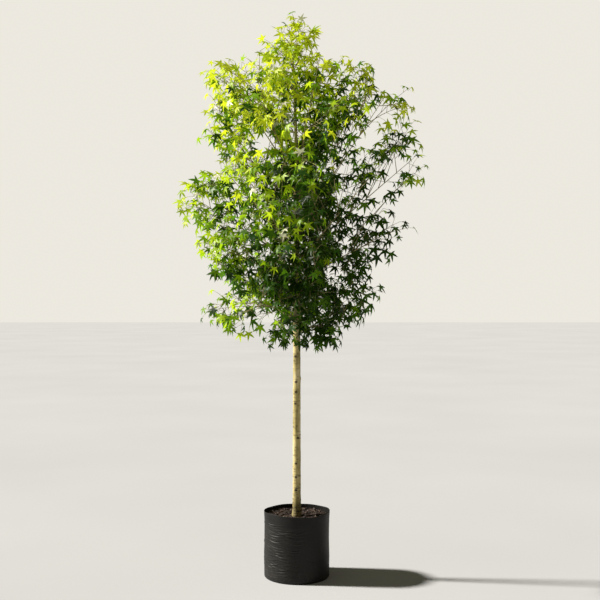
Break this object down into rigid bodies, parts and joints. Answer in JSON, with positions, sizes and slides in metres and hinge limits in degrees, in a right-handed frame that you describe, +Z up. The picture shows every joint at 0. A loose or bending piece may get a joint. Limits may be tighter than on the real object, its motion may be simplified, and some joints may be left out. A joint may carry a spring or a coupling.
{
  "type": "potted sweetgum tree",
  "caption": "Young sweetgum tree with a clear straight trunk and an oval crown of star-shaped leaves, standing in a straight-sided black pot filled with bark compost.",
  "frame": {"origin": "centre of the pot's flat underside, on the ground", "axes": "+Z up the trunk, -Y towards the viewer of the picture, +X to that viewer's right"},
  "size_m": [1.3768, 1.3914, 3.1375],
  "materials": {
    "pot": "satin",
    "soil": "matte",
    "trunk_bark": "matte",
    "bough_bark": "matte",
    "leaves_young": "satin",
    "leaves_green": "satin",
    "leaves_deep": "satin"
  },
  "bodies": {
    "root": {"pot": "pot", "soil": "soil", "trunk": "trunk_bark", "bough_01": "bough_bark", "bough_02": "bough_bark", "bough_03": "bough_bark", "bough_04": "bough_bark", "bough_05": "bough_bark", "bough_06": "bough_bark", "bough_07": "bough_bark", "bough_08": "bough_bark", "bough_09": "bough_bark", "bough_10": "bough_bark", "bough_11": "bough_bark", "bough_12": "bough_bark", "bough_13": "bough_bark", "bough_14": "bough_bark", "bough_15": "bough_bark", "bough_16": "bough_bark", "bough_17": "bough_bark", "bough_18": "bough_bark", "bough_19": "bough_bark", "bough_20": "bough_bark", "bough_21": "bough_bark", "bough_22": "bough_bark", "bough_23": "bough_bark", "bough_24": "bough_bark", "bough_25": "bough_bark", "bough_26": "bough_bark", "bough_27": "bough_bark", "foliage_01": "leaves_deep", "foliage_02": "leaves_deep", "foliage_03": "leaves_deep", "foliage_04": "leaves_deep", "foliage_05": "leaves_deep", "foliage_06": "leaves_deep", "foliage_07": "leaves_green", "foliage_08": "leaves_green", "foliage_09": "leaves_green", "foliage_10": "leaves_green", "foliage_11": "leaves_green", "foliage_12": "leaves_green", "foliage_13": "leaves_green", "foliage_14": "leaves_green", "foliage_15": "leaves_green", "foliage_16": "leaves_green", "foliage_17": "leaves_green", "foliage_18": "leaves_green", "foliage_19": "leaves_green", "foliage_20": "leaves_green", "foliage_21": "leaves_green", "foliage_22": "leaves_young", "foliage_23": "leaves_young", "foliage_24": "leaves_young", "foliage_25": "leaves_young", "foliage_26": "leaves_young", "foliage_27": "leaves_young", "foliage_leader": "leaves_young"}
  },
  "joints": []
}
